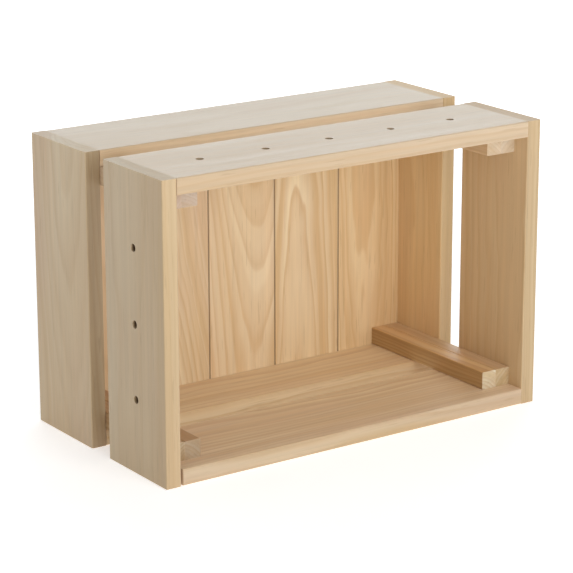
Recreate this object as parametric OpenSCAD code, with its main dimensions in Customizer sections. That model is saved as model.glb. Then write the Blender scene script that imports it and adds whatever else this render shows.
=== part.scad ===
// Slatted pine storage box: two board rings joined by corner battens, with a plank back.
// Millimetres, +Z up, open front towards -Y, origin at the centre of the footprint.

/* [Overall] */
// Outside width, in steps of the hole pitch (X)
body_w = 384; // [320:64:384]
// Outside height, in steps of the hole pitch (Z)
body_h = 256; // [192:64:384]
// Outside depth, front edge to rear edge (Y)
body_d = 208; // [200:1:260]

/* [Boards] */
// Width of each ring's boards, front to back
board_w = 90; // [80:1:95]
// Thickness of every ring board
board_t = 14; // [13:0.5:18]
// Rounding of the boards' long edges
board_edge_r = 1.2; // [0.6:0.1:2]
// Open joint at the left end of the front bottom board
open_joint = 2; // [0.5:0.5:3]

/* [Peg holes] */
// Distance between neighbouring peg holes
hole_pitch = 64; // [64]
// Diameter of a peg hole
hole_d = 7; // [4:0.5:8]
// Depth of a peg hole, which stops inside the board
hole_depth = 9; // [6:0.5:10]

/* [Corner battens] */
// Width of one batten strip; two lie side by side in each corner
strip_w = 15; // [12:0.5:18]
// Height of a batten strip
strip_h = 16; // [12:0.5:18]
// Rounding of the strips' long edges
strip_edge_r = 1; // [0.5:0.1:2]
// Distance from the front edge to the battens' front ends
strip_setback = 18; // [10:1:30]

/* [Back panel] */
// Number of planks in the back panel
plank_count = 5; // [5]
// Width that each middle plank covers
plank_cover = 70.6; // [66:0.2:71]
// Visible width of the rightmost plank
last_plank_w = 69; // [66:0.5:71]
// Thickness of the planks
plank_t = 10; // [8:0.5:12]
// Distance from the rear edge to the back of the planks
panel_recess = 16; // [10:1:20]
// Depth of the groove that holds the panel's edges
panel_groove = 5; // [3:0.5:6]
// Chamfer along each plank's front edges
plank_chamfer = 1; // [0.4:0.1:1.5]

/* [Corner dowels] */
// Diameter of the corner dowels
dowel_d = 6; // [5:0.5:6]
// Depth of a dowel in the side board's face
dowel_in_side = 9; // [7:0.5:10]
// Depth of a dowel in the cross board's end
dowel_in_end = 17; // [14:1:22]
// Distance of each dowel from the middle of the board's width
dowel_offset = 25; // [20:1:30]

/* [Hidden] */
$fn = 32;
half_w = body_w / 2;
half_d = body_d / 2;
inner_w = body_w - 2 * board_t;
inner_h = body_h - 2 * board_t;
// Middle of the front ring and of the rear ring, front to back
front_y = -half_d + board_w / 2;
rear_y = half_d - board_w / 2;
// Height of the middle of the bottom boards and of the top boards
low = board_t / 2;
high = body_h - board_t / 2;
// Room round each dowel, and at the bottom of its hole
dowel_room = 0.05;
dowel_end_room = 0.5;
// Room between the panel and its groove, and between a tongue and its slot
groove_room = 0.1;
tongue_room = 0.2;
// How far a plank's tongue stands out, and its thickness
tongue_w = 4;
tongue_t = plank_t / 3;
panel_back_y = half_d - panel_recess;
panel_front_y = panel_back_y - plank_t;
panel_left = -inner_w / 2 - panel_groove + groove_room;
panel_right = inner_w / 2 + panel_groove - groove_room;
// Front seam between the last two planks; the first plank takes what is left of the width
last_seam = inner_w / 2 - last_plank_w;
strip_len = panel_front_y - (-half_d + strip_setback);
holes_across = body_w / hole_pitch - 1;
holes_up = body_h / hole_pitch - 1;
// Overlap that keeps a cut clear of the face it opens
cut = 1;

pine = "#e3c393";
pale_pine = "#ead0a4";
heart_pine = "#d3a768";
dowel_wood = "#c79a62";

// A centred rectangle with its four corners rounded.
module eased_section(across, up, r) {
  square([across - 2 * r, up], center = true);
  square([across, up - 2 * r], center = true);
  for (sx = [-1, 1], sy = [-1, 1])
    translate([sx * (across / 2 - r), sy * (up / 2 - r)]) circle(r);
}

// A board on end, its long edges eased, from z = 0 up.
module board(thick, wide, long, r) {
  linear_extrude(long) eased_section(thick, wide, r);
}

// A cylinder along X from x = 0, towards +X for side 1 and -X for side -1.
module rod_x(d, long, side) {
  rotate([0, side * 90, 0]) cylinder(d = d, h = long);
}

// Puts a part at both dowels of one corner of a ring; side is -1 on the left and 1 on the right.
module at_dowels(ring_y, side, level) {
  for (place = [-1, 1])
    translate([side * inner_w / 2, ring_y + place * dowel_offset, level])
      children();
}

// Holes for the dowels in a side board's inner face.
module side_dowel_holes(ring_y, side) {
  for (level = [low, high]) at_dowels(ring_y, side, level)
    translate([-side * cut, 0, 0])
      rod_x(dowel_d + 2 * dowel_room, dowel_in_side + dowel_end_room + cut, side);
}

// Holes for the dowels in both ends of a cross board.
module end_dowel_holes(ring_y, level) {
  for (side = [-1, 1]) at_dowels(ring_y, side, level)
    translate([side * cut, 0, 0])
      rod_x(dowel_d + 2 * dowel_room, dowel_in_end + dowel_end_room + cut, -side);
}

// The groove all round the rear ring that takes the panel's edges.
module panel_groove_cut() {
  translate([-inner_w / 2 - panel_groove, panel_front_y - groove_room, board_t - panel_groove])
    cube([inner_w + 2 * panel_groove, plank_t + 2 * groove_room, inner_h + 2 * panel_groove]);
}

// Full-height side board. side is -1 for the left and 1 for the right.
module side_board(ring_y, side) {
  difference() {
    translate([side * (half_w - board_t / 2), ring_y, 0])
      board(board_t, board_w, body_h, board_edge_r);
    side_dowel_holes(ring_y, side);
  }
}

// Top or bottom board between the side boards; level is its height, and gap shortens its left end.
module cross_board(ring_y, level, gap) {
  difference() {
    translate([-inner_w / 2 + gap, ring_y, level])
      rotate([0, 90, 0]) board(board_t, board_w, inner_w - gap, board_edge_r);
    end_dowel_holes(ring_y, level);
  }
}

// A row of blind peg holes down the outer face of a front side board.
module side_peg_holes(side) {
  for (i = [1 : holes_up])
    translate([side * (half_w - hole_depth), front_y, i * hole_pitch])
      rod_x(hole_d, hole_depth + cut, side);
}

// A row of blind peg holes along the outer face of a front cross board.
module cross_peg_holes(bottom_of_hole) {
  for (i = [1 : holes_across])
    translate([-half_w + i * hole_pitch, front_y, bottom_of_hole])
      cylinder(d = hole_d, h = hole_depth + cut);
}

// Side board of the front ring, with its peg holes.
module front_side(side) {
  difference() {
    side_board(front_y, side);
    side_peg_holes(side);
  }
}

// Side board of the rear ring, grooved for the back panel.
module rear_side(side) {
  difference() {
    side_board(rear_y, side);
    panel_groove_cut();
  }
}

// Top or bottom board of the rear ring, grooved for the back panel.
module rear_cross(level) {
  difference() {
    cross_board(rear_y, level, 0);
    panel_groove_cut();
  }
}

// Outline of one plank from above: chamfered front edges, a slot on its left and a tongue on its right.
module plank_outline(left, right, slot, tongue) {
  mid = plank_t / 2;
  difference() {
    union() {
      polygon([
        [left + plank_chamfer, 0], [right - plank_chamfer, 0], [right, plank_chamfer],
        [right, plank_t], [left, plank_t], [left, plank_chamfer]
      ]);
      if (tongue)
        translate([right - cut, mid - tongue_t / 2]) square([tongue_w + cut, tongue_t]);
    }
    if (slot)
      translate([left - cut, mid - tongue_t / 2 - tongue_room])
        square([tongue_w + 2 * tongue_room + cut, tongue_t + 2 * tongue_room]);
  }
}

// Plank number i from the left; the first and last reach into the side boards' grooves.
module plank(i) {
  seam_left = last_seam - (plank_count - i) * plank_cover;
  left = i == 1 ? panel_left : seam_left;
  right = i == plank_count ? panel_right : seam_left + plank_cover;
  translate([0, panel_front_y, board_t - panel_groove + groove_room])
    linear_extrude(inner_h + 2 * (panel_groove - groove_room))
      plank_outline(left, right, i > 1, i < plank_count);
}

// One batten strip. side and level pick the corner (-1 or 1); place is 0 at the wall and 1 inside.
module strip(side, level, place) {
  x = side * (inner_w / 2 - strip_w * (place + 0.5));
  z = body_h / 2 + level * (inner_h / 2 - strip_h / 2);
  translate([x, panel_front_y, z])
    rotate([90, 0, 0]) board(strip_w, strip_h, strip_len, strip_edge_r);
}

// The eight dowels of one ring, two in each corner.
module ring_dowels(ring_y) {
  for (side = [-1, 1], level = [low, high]) at_dowels(ring_y, side, level)
    translate([-side * dowel_in_end, 0, 0])
      rod_x(dowel_d, dowel_in_end + dowel_in_side, side);
}

module front_left_board() { color(pine) front_side(-1); }
module front_right_board() { color(pine) front_side(1); }
module front_top_board() {
  color(pale_pine) difference() {
    cross_board(front_y, high, 0);
    cross_peg_holes(body_h - hole_depth);
  }
}
module front_bottom_board() {
  color(pale_pine) difference() {
    cross_board(front_y, low, open_joint);
    cross_peg_holes(-cut);
  }
}
module rear_left_board() { color(pine) rear_side(-1); }
module rear_right_board() { color(pine) rear_side(1); }
module rear_top_board() { color(pale_pine) rear_cross(high); }
module rear_bottom_board() { color(pale_pine) rear_cross(low); }

module back_plank_1() { color(heart_pine) plank(1); }
module back_plank_2() { color(pine) plank(2); }
module back_plank_3() { color(heart_pine) plank(3); }
module back_plank_4() { color(pine) plank(4); }
module back_plank_5() { color(heart_pine) plank(5); }

module batten_bottom_left_outer() { color(pine) strip(-1, -1, 0); }
module batten_bottom_left_inner() { color(heart_pine) strip(-1, -1, 1); }
module batten_bottom_right_outer() { color(pine) strip(1, -1, 0); }
module batten_bottom_right_inner() { color(heart_pine) strip(1, -1, 1); }
module batten_top_left_outer() { color(pine) strip(-1, 1, 0); }
module batten_top_left_inner() { color(heart_pine) strip(-1, 1, 1); }
module batten_top_right_outer() { color(pine) strip(1, 1, 0); }
module batten_top_right_inner() { color(heart_pine) strip(1, 1, 1); }

module front_dowels() { color(dowel_wood) ring_dowels(front_y); }
module rear_dowels() { color(dowel_wood) ring_dowels(rear_y); }

front_left_board();
front_right_board();
front_top_board();
front_bottom_board();
rear_left_board();
rear_right_board();
rear_top_board();
rear_bottom_board();
back_plank_1();
back_plank_2();
back_plank_3();
back_plank_4();
back_plank_5();
batten_bottom_left_outer();
batten_bottom_left_inner();
batten_bottom_right_outer();
batten_bottom_right_inner();
batten_top_left_outer();
batten_top_left_inner();
batten_top_right_outer();
batten_top_right_inner();
front_dowels();
rear_dowels();
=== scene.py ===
import math
import random

import bpy
from mathutils import Euler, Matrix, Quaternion, Vector


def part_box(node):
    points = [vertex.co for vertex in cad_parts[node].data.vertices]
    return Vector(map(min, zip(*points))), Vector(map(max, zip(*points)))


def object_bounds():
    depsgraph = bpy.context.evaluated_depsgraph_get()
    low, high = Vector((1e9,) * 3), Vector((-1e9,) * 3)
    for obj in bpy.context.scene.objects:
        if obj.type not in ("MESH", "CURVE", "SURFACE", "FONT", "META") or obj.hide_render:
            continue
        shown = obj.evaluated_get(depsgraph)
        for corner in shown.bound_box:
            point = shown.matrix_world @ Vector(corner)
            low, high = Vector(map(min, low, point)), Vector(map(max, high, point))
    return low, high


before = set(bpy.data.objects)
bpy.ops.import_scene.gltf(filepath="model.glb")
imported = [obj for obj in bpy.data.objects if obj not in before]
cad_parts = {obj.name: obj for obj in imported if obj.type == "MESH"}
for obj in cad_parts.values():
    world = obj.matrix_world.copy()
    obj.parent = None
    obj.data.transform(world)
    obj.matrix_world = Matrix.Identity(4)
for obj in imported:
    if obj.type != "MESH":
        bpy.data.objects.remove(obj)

CAD_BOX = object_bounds()
LO, HI = CAD_BOX
CENTRE = (LO + HI) / 2

# ---------------------------------------------------------------- node helpers


class Nodes:
    """A short way to build a node tree: each call returns the new node's output."""

    def __init__(self, tree):
        self.tree = tree

    def put(self, socket, value):
        if value is None:
            return
        if isinstance(value, bpy.types.NodeSocket):
            self.tree.links.new(value, socket)
        else:
            socket.default_value = value

    def node(self, kind, **settings):
        n = self.tree.nodes.new(kind)
        for key, value in settings.items():
            setattr(n, key, value)
        return n

    def math(self, operation, a, b=None, c=None, clamp=False):
        n = self.node("ShaderNodeMath", operation=operation, use_clamp=clamp)
        for socket, value in zip(n.inputs, (a, b, c)):
            self.put(socket, value)
        return n.outputs[0]

    def vector(self, operation, a, b=None):
        n = self.node("ShaderNodeVectorMath", operation=operation)
        self.put(n.inputs[0], a)
        if b is not None:
            self.put(n.inputs[1], b)
        return n.outputs[1] if operation in ("DOT_PRODUCT", "LENGTH") else n.outputs[0]

    def noise(self, at, scale, detail=2.0, rough=0.5, distortion=0.0):
        n = self.node("ShaderNodeTexNoise", noise_dimensions="3D")
        self.put(n.inputs["Vector"], at)
        self.put(n.inputs["Scale"], scale)
        self.put(n.inputs["Detail"], detail)
        self.put(n.inputs["Roughness"], rough)
        self.put(n.inputs["Distortion"], distortion)
        return n.outputs["Fac"]

    def ramp(self, value, stops, interpolation="LINEAR"):
        n = self.node("ShaderNodeValToRGB")
        n.color_ramp.interpolation = interpolation
        points = n.color_ramp.elements
        while len(points) < len(stops):
            points.new(1.0)
        for point, (place, colour) in zip(points, stops):
            point.position = place
            point.color = colour if len(colour) == 4 else (*colour, 1.0)
        self.put(n.inputs[0], value)
        return n.outputs[0]

    def grey_ramp(self, value, stops, interpolation="LINEAR"):
        return self.ramp(value, [(p, (v, v, v)) for p, v in stops], interpolation)

    def mix(self, factor, a, b, blend="MIX"):
        n = self.node("ShaderNodeMix", data_type="RGBA", blend_type=blend)
        self.put(n.inputs[0], factor)
        self.put(n.inputs[6], a if isinstance(a, bpy.types.NodeSocket) else (*a, 1.0))
        self.put(n.inputs[7], b if isinstance(b, bpy.types.NodeSocket) else (*b, 1.0))
        return n.outputs[2]

    def split(self, vector):
        n = self.node("ShaderNodeSeparateXYZ")
        self.put(n.inputs[0], vector)
        return n.outputs

    def join(self, x, y, z):
        n = self.node("ShaderNodeCombineXYZ")
        for socket, value in zip(n.inputs, (x, y, z)):
            self.put(socket, value)
        return n.outputs[0]


# ---------------------------------------------------------------- pine

# Turns that bring a board's length onto the wood's own Z axis.
ALONG = {"x": (0.0, -math.pi / 2, 0.0), "y": (math.pi / 2, 0.0, 0.0), "z": (0.0, 0.0, 0.0)}
AXIS = {"x": Vector((1, 0, 0)), "y": Vector((0, 1, 0)), "z": Vector((0, 0, 1))}

# Wood colours, and how strongly each comes in.
EARLY = (0.680, 0.520, 0.340)
LATE = (0.560, 0.370, 0.195)
BLUSH = (0.620, 0.420, 0.290)
HONEY = (0.590, 0.395, 0.200)
PALE = (0.760, 0.620, 0.430)
RUBBED = (0.70, 0.53, 0.34)
END_TINT = (0.97, 0.94, 0.92)
# Near-black brown: painted shade with some dust in the joints, and painted shade with torn fibres in the
# bores.
SHADE_AND_DUST = (0.130, 0.070, 0.028)
LATE_MIX, PALE_MIX, RICH_MIX, WARM_MIX = 0.62, 0.55, 0.50, 0.45
RESIN_MIX, RESIN_TONE = 0.28, 0.72
# How strongly painted shade fills the joints and the bores, and how strongly the arrises are rubbed
# paler.
JOINT_SHADE_MIX, BORE_SHADE_MIX, RUB_MIX = 0.68, 0.9, 0.35
FIBRE_SHADE, COARSE_SHADE = 0.16, 0.22

# Noise per metre, across the board twice and then along it.
STEM_GRAIN = (5.0, 5.0, 2.6)
RIPPLE_GRAIN = (45.0, 45.0, 11.0)
FIBRE_GRAIN = (900.0, 900.0, 16.0)
COARSE_GRAIN = (240.0, 240.0, 5.0)
RESIN_GRAIN = (620.0, 620.0, 34.0)
WARM_GRAIN = (9.0, 9.0, 3.0)
PINK_GRAIN = (14.0, 14.0, 4.0)
RUB_GRAIN = 60.0

# A noise of 0.5 either way becomes twice the wave or ripple that pine() is given.
SWING = 4.0
# How fast the rings' spacing varies per metre from the pith, and by how many rings.
UNEVEN_RATE, UNEVEN_RINGS = 55.0, 2.2
# How fast the runs of years change per metre from the pith, and per metre along the board.
YEARS_RATE, YEARS_DRIFT = 120.0, 1.5
# How dark single rings are: least, added at most, and how fast that changes from ring to ring.
LATE_FLOOR, LATE_GAIN, LATE_RATE = 0.25, 1.1, 1.7

# Ramp units per metre. Painted shade ends 1 mm from a joint, and a bore is fully dark with painted shade
# 2.5 mm inside the box.
PER_JOINT, PER_BORE = 500.0, 100.0

# Raised fibres scatter light at grazing angles, which greys the wood there.
SHEEN, SHEEN_ROUGH = 0.25, 0.45
ROUGHNESS, ROUGH_COARSE, ROUGH_LATE, ROUGH_END, ROUGH_WORN = 0.54, 0.22, -0.06, 0.16, -0.05
WOOD_IOR, WOOD_SPECULAR = 1.48, 0.5
BUMP_LATE, BUMP_FIBRE, BUMP_COARSE, BUMP_RESIN = 0.55, 0.7, 0.5, 0.35
BUMP_STRENGTH, BUMP_DISTANCE = 0.35, 0.00022
ARRIS = 0.0016


def grained(n, local, scale, offset):
    """Where to sample a noise that is stretched along the board."""
    return n.vector("ADD", n.vector("MULTIPLY", local, scale), tuple(offset))


def centred(n, value):
    """Moves a value of 0 to 1 to -0.5 to 0.5."""
    return n.math("SUBTRACT", value, 0.5)


def from_pith(n, local, shift, pith, tilt, bend, wave, ripple):
    """Metres from the pith line, which wanders slowly and so draws the cathedral arches."""
    u, v, w = n.split(local)
    slow = grained(n, local, STEM_GRAIN, shift)
    wander_u = centred(n, n.noise(slow, 1.0, 2.0, 0.45))
    wander_v = centred(n, n.noise(n.vector("ADD", slow, (7.3, 2.1, 4.9)), 1.0, 2.0, 0.45))
    lean_u = n.math("MULTIPLY_ADD", w, math.tan(tilt[0]), -pith[0])
    lean_v = n.math("MULTIPLY_ADD", w, math.tan(tilt[1]), -pith[1])
    lean_v = n.math("MULTIPLY_ADD", n.math("MULTIPLY", w, w), bend, lean_v)
    across_u = n.math("ADD", n.math("ADD", u, lean_u), n.math("MULTIPLY", wander_u, wave * SWING))
    across_v = n.math("ADD", n.math("ADD", v, lean_v), n.math("MULTIPLY", wander_v, wave * SWING))
    radius = n.vector("LENGTH", n.join(across_u, across_v, 0.0))
    ripples = centred(n, n.noise(grained(n, local, RIPPLE_GRAIN, -shift), 1.0, 2.0, 0.5))
    return n.math("ADD", radius, n.math("MULTIPLY", ripples, ripple * SWING))


def late_wood(n, radius, ring, shift):
    """Rings of uneven width: soft spring wood that darkens to a thin late edge."""
    uneven = n.noise(n.join(n.math("MULTIPLY", radius, UNEVEN_RATE), shift[0], shift[1]), 1.0, 3.0, 0.6)
    place = n.math("ADD", n.math("DIVIDE", radius, ring), n.math("MULTIPLY", uneven, UNEVEN_RINGS))
    late = n.grey_ramp(n.math("FRACT", place), [(0.0, 0.05), (0.35, 0.12), (0.62, 0.50),
                                                (0.82, 1.0), (0.91, 0.85), (1.0, 0.05)])
    strength = n.noise(n.join(n.math("FLOOR", place), shift[2], 0.0), LATE_RATE, 0.0)
    return n.math("MULTIPLY", late, n.math("MULTIPLY_ADD", strength, LATE_GAIN, LATE_FLOOR))


def year_runs(n, radius, length, shift):
    """Good and lean years come in runs, so whole groups of rings are pale or honey coloured."""
    at = n.join(n.math("MULTIPLY", radius, YEARS_RATE), shift[1], n.math("MULTIPLY", length, YEARS_DRIFT))
    years = n.noise(at, 1.0, 1.5, 0.5)
    pale = n.grey_ramp(years, [(0.0, 1.0), (0.36, 1.0), (0.50, 0.0), (1.0, 0.0)], "EASE")
    rich = n.grey_ramp(years, [(0.0, 0.0), (0.50, 0.0), (0.64, 1.0), (1.0, 1.0)], "EASE")
    return pale, rich


def along_fibres(n, local, shift):
    """Long fine streaks, broader ones, and short darker resin lines."""
    fibre = n.noise(grained(n, local, FIBRE_GRAIN, shift * 3.0), 1.0, 3.0, 0.6)
    coarse = n.noise(grained(n, local, COARSE_GRAIN, shift * 2.0), 1.0, 2.0, 0.5)
    resin = n.noise(grained(n, local, RESIN_GRAIN, shift * 5.0), 1.0, 1.0, 0.4)
    resin = n.grey_ramp(resin, [(0.0, 1.0), (0.27, 1.0), (0.34, 0.0), (1.0, 0.0)])
    return fibre, coarse, resin


def in_patches(n, local, shift):
    """Patches of warmer and of pinker wood."""
    warmer = n.noise(grained(n, local, WARM_GRAIN, shift), 1.0, 3.0, 0.55)
    warmer = n.grey_ramp(warmer, [(0.0, 0.0), (0.35, 0.0), (0.68, 1.0), (1.0, 1.0)], "EASE")
    pinker = n.noise(grained(n, local, PINK_GRAIN, -shift), 1.0, 2.0, 0.5)
    pinker = n.grey_ramp(pinker, [(0.0, 0.0), (0.45, 0.0), (0.72, 1.0), (1.0, 1.0)], "EASE")
    return warmer, pinker


def facing(n, normal, axis, start, full):
    """1 on faces that look along the axis either way, 0 on the others."""
    straight = n.math("ABSOLUTE", n.vector("DOT_PRODUCT", normal, tuple(AXIS[axis])))
    return n.grey_ramp(straight, [(0.0, 0.0), (start, 0.0), (full, 1.0), (1.0, 1.0)])


def shade_in_joints(n, wood, across, joints):
    """Painted shade, and some dust, down in the joints between planks."""
    for joint in joints:
        off_joint = n.math("ABSOLUTE", n.math("SUBTRACT", across, joint))
        joint_shade = n.grey_ramp(n.math("MULTIPLY", off_joint, PER_JOINT),
                            [(0.0, 1.0), (0.25, 0.9), (0.50, 0.0), (1.0, 0.0)])
        wood = n.mix(n.math("MULTIPLY", joint_shade, JOINT_SHADE_MIX), wood, SHADE_AND_DUST)
    return wood


def shade_in_bores(n, wood, coords, box):
    """Bored and grooved surfaces lie inside the board's box: torn fibres and painted shade, so they are
    dark.
    """
    half = (box[1] - box[0]) / 2
    from_middle = n.vector("ABSOLUTE", n.vector("SUBTRACT", coords, tuple((box[0] + box[1]) / 2)))
    depth_in = n.split(n.vector("SUBTRACT", tuple(half), from_middle))
    least = n.math("MINIMUM", n.math("MINIMUM", depth_in[0], depth_in[1]), depth_in[2])
    bore_shade = n.grey_ramp(n.math("MULTIPLY", least, PER_BORE),
                        [(0.0, 0.0), (0.05, 0.0), (0.25, 1.0), (1.0, 1.0)])
    return n.mix(n.math("MULTIPLY", bore_shade, BORE_SHADE_MIX), wood, SHADE_AND_DUST)


def on_arrises(n, local, normal, shift):
    """Worn arrises, rubbed a little paler in patches."""
    bevel = n.node("ShaderNodeBevel", samples=4)
    bevel.inputs["Radius"].default_value = ARRIS
    arris = n.math("SUBTRACT", 1.0, n.vector("DOT_PRODUCT", bevel.outputs[0], normal))
    rub = n.noise(n.vector("ADD", local, tuple(shift)), RUB_GRAIN, 3.0, 0.6)
    return n.math("MULTIPLY", n.grey_ramp(arris, [(0.0, 0.0), (0.02, 0.1), (0.16, 1.0), (1.0, 1.0)]),
                  n.grey_ramp(rub, [(0.0, 0.1), (0.40, 0.25), (0.62, 1.0), (1.0, 1.0)]))


def pine(name, along, pith, tilt=(0.0, 0.0), seed=0, ring=0.0042, wave=0.006,
         tint=(1.0, 1.0, 1.0), warm=0.0, contrast=1.0, blush=0.25, edge=1.0, edge_axis="y",
         end_tint=END_TINT, ripple=0.0012, bend=0.0, joints=(), box=None):
    """Planed softwood cut from a log: rings round a pith line that lies `pith` metres from the frame's
    origin across the board, and `tilt` radians off the board's length. `edge` is the tone of the faces
    that look along `edge_axis`, painted shade and painted light for how light falls on them, `joints`
    are places across the board, and `box` is the board's own."""
    material = bpy.data.materials.new(name)
    material.use_nodes = True
    tree = material.node_tree
    tree.nodes.clear()
    n = Nodes(tree)
    rng = random.Random(seed)
    shift = Vector([rng.uniform(-3.0, 3.0) for _ in range(3)])

    coords = n.node("ShaderNodeTexCoord").outputs["Object"]
    turned = n.node("ShaderNodeMapping", vector_type="POINT")
    turned.inputs["Rotation"].default_value = ALONG[along]
    n.put(turned.inputs["Vector"], coords)
    local = turned.outputs[0]
    across, _, length = n.split(local)

    radius = from_pith(n, local, shift, pith, tilt, bend, wave, ripple)
    late = late_wood(n, radius, ring, shift)
    pale, rich = year_runs(n, radius, length, shift)
    fibre, coarse, resin = along_fibres(n, local, shift)
    warmer, pinker = in_patches(n, local, shift)

    def tinted(colour):
        return tuple(c * t for c, t in zip(colour, tint))

    dark = tinted(LATE)
    wood = n.mix(n.math("MULTIPLY", pale, PALE_MIX * contrast, clamp=True), tinted(EARLY), tinted(PALE))
    wood = n.mix(n.math("MULTIPLY", rich, RICH_MIX * contrast, clamp=True), wood, tinted(HONEY))
    wood = n.mix(n.math("MULTIPLY", late, LATE_MIX * contrast, clamp=True), wood, dark)
    wood = n.mix(n.math("MULTIPLY_ADD", warmer, WARM_MIX, warm, clamp=True), wood, tinted(HONEY))
    wood = n.mix(n.math("MULTIPLY", pinker, blush, clamp=True), wood, tinted(BLUSH))
    streak = n.math("MULTIPLY_ADD", centred(n, fibre), FIBRE_SHADE, 1.0)
    streak = n.math("MULTIPLY", streak, n.math("MULTIPLY_ADD", centred(n, coarse), COARSE_SHADE, 1.0))
    wood = n.mix(1.0, wood, n.join(streak, streak, streak), "MULTIPLY")
    wood = n.mix(n.math("MULTIPLY", resin, RESIN_MIX), wood, tuple(c * RESIN_TONE for c in dark))

    # End grain: cut fibres drink in light, and dust and handling grey them a little. The left boards' own
    # end tint is a painted sheen on their top ends, and the strips' end tints are painted light on their
    # front ends.
    normal = n.node("ShaderNodeNewGeometry").outputs["Normal"]
    end = facing(n, normal, along, 0.70, 0.92)
    wood = n.mix(end, wood, n.mix(1.0, wood, end_tint, "MULTIPLY"))

    # The boards' narrow edges show the log's other cut, and their tone, darker or paler than the face, is
    # mostly painted shade and painted light for how light falls on each edge.
    narrow = facing(n, normal, edge_axis, 0.60, 0.90)
    wood = n.mix(narrow, wood, n.mix(1.0, wood, (edge, edge, edge), "MULTIPLY"))

    # Painted shade down in the plank joints and inside the bores.
    wood = shade_in_joints(n, wood, across, joints)
    if box:
        wood = shade_in_bores(n, wood, coords, box)
    worn = on_arrises(n, local, normal, shift)
    wood = n.mix(n.math("MULTIPLY", worn, RUB_MIX), wood, RUBBED)

    shader = n.node("ShaderNodeBsdfPrincipled")
    n.put(shader.inputs["Base Color"], wood)
    rough = n.math("MULTIPLY_ADD", centred(n, coarse), ROUGH_COARSE, ROUGHNESS)
    rough = n.math("MULTIPLY_ADD", late, ROUGH_LATE, rough)
    rough = n.math("MULTIPLY_ADD", end, ROUGH_END, rough)
    rough = n.math("MULTIPLY_ADD", worn, ROUGH_WORN, rough, clamp=True)
    n.put(shader.inputs["Roughness"], rough)
    shader.inputs["IOR"].default_value = WOOD_IOR
    shader.inputs["Specular IOR Level"].default_value = WOOD_SPECULAR
    shader.inputs["Sheen Weight"].default_value = SHEEN
    shader.inputs["Sheen Roughness"].default_value = SHEEN_ROUGH

    height = n.math("MULTIPLY_ADD", late, BUMP_LATE, n.math("MULTIPLY", fibre, BUMP_FIBRE))
    height = n.math("ADD", height, n.math("MULTIPLY", coarse, BUMP_COARSE))
    height = n.math("SUBTRACT", height, n.math("MULTIPLY", resin, BUMP_RESIN))
    bump = n.node("ShaderNodeBump")
    bump.inputs["Strength"].default_value = BUMP_STRENGTH
    bump.inputs["Distance"].default_value = BUMP_DISTANCE
    n.put(bump.inputs["Height"], height)
    n.put(shader.inputs["Normal"], bump.outputs[0])
    out = n.node("ShaderNodeOutputMaterial")
    tree.links.new(shader.outputs[0], out.inputs[0])
    return material


def mid(node):
    lo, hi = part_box(node)
    return (lo + hi) / 2


def set_material(node, material):
    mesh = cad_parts[node].data
    mesh.materials.clear()
    mesh.materials.append(material)


def local_mid(node, along):
    """Where the board's middle lies in the wood's own axes, as pine() sees them."""
    return Euler(ALONG[along]).to_matrix() @ mid(node)


def make_board(node, along, off, tone=1.0, **look):
    """off: how far the pith lies from the board's middle, in metres across and across. tone is one
    number or a colour that the wood is multiplied by."""
    centre = local_mid(node, along)
    look["tint"] = tone if isinstance(tone, tuple) else (tone, tone, tone)
    pith = (centre[0] + off[0], centre[1] + off[1])
    set_material(node, pine("wood_" + node, along, pith, box=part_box(node), **look))


# The left boards' top ends are painted paler and greyer than their faces: a painted sheen.
PAINTED_TOP_SHEEN = (1.22, 1.25, 1.34)

# off is in the wood's own axes: for boards along x they are (-z, y), along y (x, -z), along z (x, y)
# Each board's tone is partly its wood and partly painted light and shade: the left boards are darker as
# painted shade on their side away from the lamps, and the rear right and bottom boards are paler as
# painted light.
make_board("front_left_board", "z", (0.075, 0.010), seed=11, ring=0.0048, tone=(0.77, 0.78, 0.75),
           edge=1.12, end_tint=PAINTED_TOP_SHEEN, warm=0.03, contrast=0.7, blush=0.15)
make_board("front_right_board", "z", (0.060, -0.020), seed=12, ring=0.0045, tone=(0.96, 0.93, 0.83),
           edge=0.82, warm=0.25, contrast=0.9)
make_board("rear_left_board", "z", (0.070, -0.006), tilt=(0.05, 0.0), seed=13, ring=0.0050,
           tone=(0.84, 0.85, 0.82), edge=0.74, end_tint=PAINTED_TOP_SHEEN, contrast=0.9, blush=0.5)
make_board("rear_right_board", "z", (0.085, 0.020), seed=14, ring=0.0045, tone=(1.20, 1.20, 1.08),
           edge=0.85, warm=0.3, contrast=0.8)
make_board("front_top_board", "x", (0.090, 0.015), seed=15, ring=0.0046, tone=(0.97, 0.98, 1.02),
           edge=0.90, contrast=0.6, blush=0.15)
make_board("rear_top_board", "x", (0.080, -0.020), seed=16, ring=0.0046, tone=(0.93, 0.94, 0.96),
           edge=1.2, contrast=0.6, blush=0.15)
make_board("front_bottom_board", "x", (0.050, 0.055), seed=17, ring=0.0040, tone=(1.20, 1.24, 1.26),
           edge=0.74, warm=0.05, contrast=1.7, blush=0.5)
make_board("rear_bottom_board", "x", (0.060, 0.030), seed=18, ring=0.0044, tone=(1.16, 1.16, 1.08),
           edge=0.82, warm=0.1, contrast=1.3)

# The joints between planks lie at the left edges of the second plank and on.
plank_edges = [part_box("back_plank_%d" % i)[0].x for i in (2, 3, 4, 5)]
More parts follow.
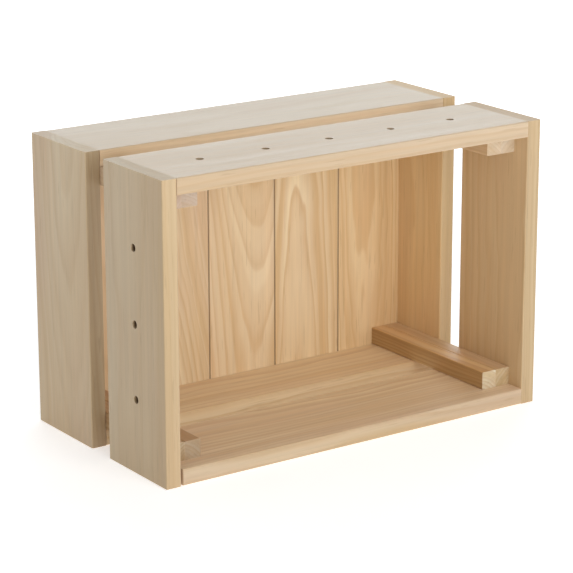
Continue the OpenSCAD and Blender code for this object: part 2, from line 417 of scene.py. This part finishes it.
# The planks' tones, above 1, are partly their wood and partly painted light that lifts the shaded back of
# the box.
PLANKS = [
    dict(off=(0.012, 0.050), tilt=(0.02, 0.05), seed=25, ring=0.0048, tone=1.08),
    dict(off=(-0.040, -0.050), tilt=(0.16, 0.0), seed=21, ring=0.0042, tone=(1.14, 1.18, 1.18),
         contrast=1.4, blush=0.45),
    dict(off=(0.012, -0.050), bend=-0.62, seed=22, ring=0.0062, tone=(1.16, 1.18, 1.16),
         wave=0.002, contrast=1.2),
    dict(off=(-0.011, -0.034), tilt=(0.0, 0.045), seed=23, ring=0.0052, tone=(1.18, 1.22, 1.18),
         wave=0.002, contrast=1.6),
    dict(off=(-0.004, -0.030), tilt=(0.03, -0.05), seed=24, ring=0.0055, tone=(1.17, 1.16, 1.07),
         wave=0.003, warm=0.10, contrast=1.8, ripple=0.003),
]
for i, look in enumerate(PLANKS):
    make_board("back_plank_%d" % (i + 1), "z", joints=tuple(plank_edges[max(i - 1, 0):i + 1]), **look)

# The strips' ends are painted pale as painted light where they face the lamps, while their sides and the
# bottom left strips are darker as painted shade, so each end has a tint of its own.
STRIP_LOOKS = {
    "bottom_left": (dict(tone=(0.80, 0.68, 0.52), edge=0.9, end_tint=(0.85, 1.02, 1.36), contrast=2.0),
                    dict(tone=(0.80, 0.68, 0.52), edge=0.9, end_tint=(0.85, 1.05, 1.45), contrast=2.0)),
    "bottom_right": (dict(tone=(1.0, 0.93, 0.78), edge=0.9, end_tint=(0.88, 1.02, 1.23), contrast=2.0),
                     dict(tone=(1.04, 0.88, 0.58), edge=0.72, end_tint=(1.02, 1.42, 2.5), contrast=2.0)),
    "top_left": (dict(end_tint=(0.84, 0.88, 1.10), contrast=1.0),
                 dict(end_tint=(0.80, 0.85, 1.06), contrast=1.0)),
    "top_right": (dict(end_tint=(0.94, 1.04, 1.22), contrast=1.0),
                  dict(end_tint=(0.96, 1.04, 1.20), contrast=1.0)),
}
for i, (corner, looks) in enumerate(STRIP_LOOKS.items()):
    for j, (side, look) in enumerate(zip(("outer", "inner"), looks)):
        make_board("batten_%s_%s" % (corner, side), "y", (0.030 - 0.05 * j, 0.035), seed=31 + 2 * i + j,
                   ring=0.0030, edge_axis="x", warm=0.15, blush=0.3, **look)

DOWEL_TINT = (0.86, 0.76, 0.60)
dowel_wood = pine("wood_dowels", "x", (0.05, 0.05), seed=51, ring=0.0012, tint=DOWEL_TINT,
                  warm=0.2, contrast=0.6)
set_material("front_dowels", dowel_wood)
set_material("rear_dowels", dowel_wood)

# ---------------------------------------------------------------- stage, light, camera

# The floor is lit from below like a light table, more so away from the box, so that it stays white.
GLOW_NEAR, GLOW_FAR, GLOW_REACH = 0.50, 0.80, 2.0
FLOOR_DARK, FLOOR_PALE = (0.88, 0.88, 0.885), (0.93, 0.93, 0.93)
FLOOR_RADIUS, FLOOR_SIDES = 30.0, 96
# A hair below the box's feet, so that the two surfaces don't coincide.
FLOOR_GAP = 0.0004


def floor_material():
    material = bpy.data.materials.new("studio_floor")
    material.use_nodes = True
    n = Nodes(material.node_tree)
    shader = material.node_tree.nodes["Principled BSDF"]
    at = n.node("ShaderNodeTexCoord").outputs["Object"]
    speck = n.noise(at, 40.0, 3.0, 0.6)
    n.put(shader.inputs["Base Color"], n.ramp(speck, [(0.0, FLOOR_DARK), (1.0, FLOOR_PALE)]))
    n.put(shader.inputs["Roughness"], n.math("MULTIPLY_ADD", speck, 0.1, 0.85))
    shader.inputs["Emission Color"].default_value = (1.0, 1.0, 1.0, 1.0)
    outward = n.grey_ramp(n.math("DIVIDE", n.vector("LENGTH", at), GLOW_REACH),
                          [(0.0, 0.0), (0.25, 0.0), (0.8, 1.0)])
    glow = n.math("MULTIPLY_ADD", outward, GLOW_FAR - GLOW_NEAR, GLOW_NEAR)
    n.put(shader.inputs["Emission Strength"], glow)
    return material


floor_mesh = bpy.data.meshes.new("studio_floor")
rim = [(FLOOR_RADIUS * math.cos(2 * math.pi * i / FLOOR_SIDES),
        FLOOR_RADIUS * math.sin(2 * math.pi * i / FLOOR_SIDES), 0.0) for i in range(FLOOR_SIDES)]
floor_mesh.from_pydata(rim, [], [tuple(range(FLOOR_SIDES))])
floor = bpy.data.objects.new("studio_floor", floor_mesh)
floor.location = (CENTRE.x, CENTRE.y, LO.z - FLOOR_GAP)
floor_mesh.materials.append(floor_material())
bpy.context.scene.collection.objects.link(floor)

KEY_COLOUR, KEY_SIZE = (1.0, 0.99, 0.975), 1.6
BACK_COLOUR, BACK_SIZE = (0.83, 0.94, 1.0), 3.2


def area_light(name, place, size, power, colour):
    """A round soft lamp that looks at the middle of the box."""
    light = bpy.data.lights.new(name, "AREA")
    light.shape = "DISK"
    light.size = size
    light.energy = power
    light.color = colour
    lamp = bpy.data.objects.new(name, light)
    lamp.location = place
    lamp.rotation_euler = (CENTRE - Vector(place)).to_track_quat("-Z", "Y").to_euler()
    bpy.context.scene.collection.objects.link(lamp)


area_light("front", (0.0, -2.4, 0.6), KEY_SIZE, 15.5, KEY_COLOUR)
area_light("front_left", (-1.1, -2.2, 0.7), KEY_SIZE, 6.0, KEY_COLOUR)
area_light("front_high", (0.0, -1.9, 1.8), KEY_SIZE, 12.0, KEY_COLOUR)
area_light("back", (1.5, 2.1, 0.95), BACK_SIZE, 50.0, BACK_COLOUR)

# The surroundings are white where they are seen or mirrored, and dimmer as fill light.
SKY_FILL, SKY_SEEN = 0.32, 1.1
world = bpy.data.worlds.new("studio")
bpy.context.scene.world = world
world.use_nodes = True
sky = Nodes(world.node_tree)
background = world.node_tree.nodes["Background"]
background.inputs["Color"].default_value = (1.0, 1.0, 1.0, 1.0)
fill = sky.node("ShaderNodeLightPath").outputs["Is Diffuse Ray"]
sky.put(background.inputs["Strength"], sky.math("MULTIPLY_ADD", fill, SKY_FILL - SKY_SEEN, SKY_SEEN))

# The camera as fitted to the photo's edges without any lens shift.
AZIMUTH, ELEVATION, ROLL = math.radians(34.64), math.radians(16.31), math.radians(-0.115)
DISTANCE = 2.1225
LENS, SENSOR = 153.96, 36.0
AIM = CENTRE + Vector((-0.004, -0.0019, -0.0134))
camera_data = bpy.data.cameras.new("camera")
camera_data.lens = LENS
camera_data.sensor_width = SENSOR
camera_data.clip_end = 100.0
camera = bpy.data.objects.new("camera", camera_data)
away = Vector((-math.sin(AZIMUTH) * math.cos(ELEVATION),
               -math.cos(AZIMUTH) * math.cos(ELEVATION),
               math.sin(ELEVATION)))
camera.location = AIM + away * DISTANCE
turn = (-away).to_track_quat("-Z", "Y")
camera.rotation_euler = (turn @ Quaternion((0, 0, 1), ROLL)).to_euler()
bpy.context.scene.collection.objects.link(camera)
bpy.context.scene.camera = camera

view = bpy.context.scene.view_settings
view.view_transform = "Standard"
view.look = "None"
view.exposure = 0.0
view.gamma = 1.0
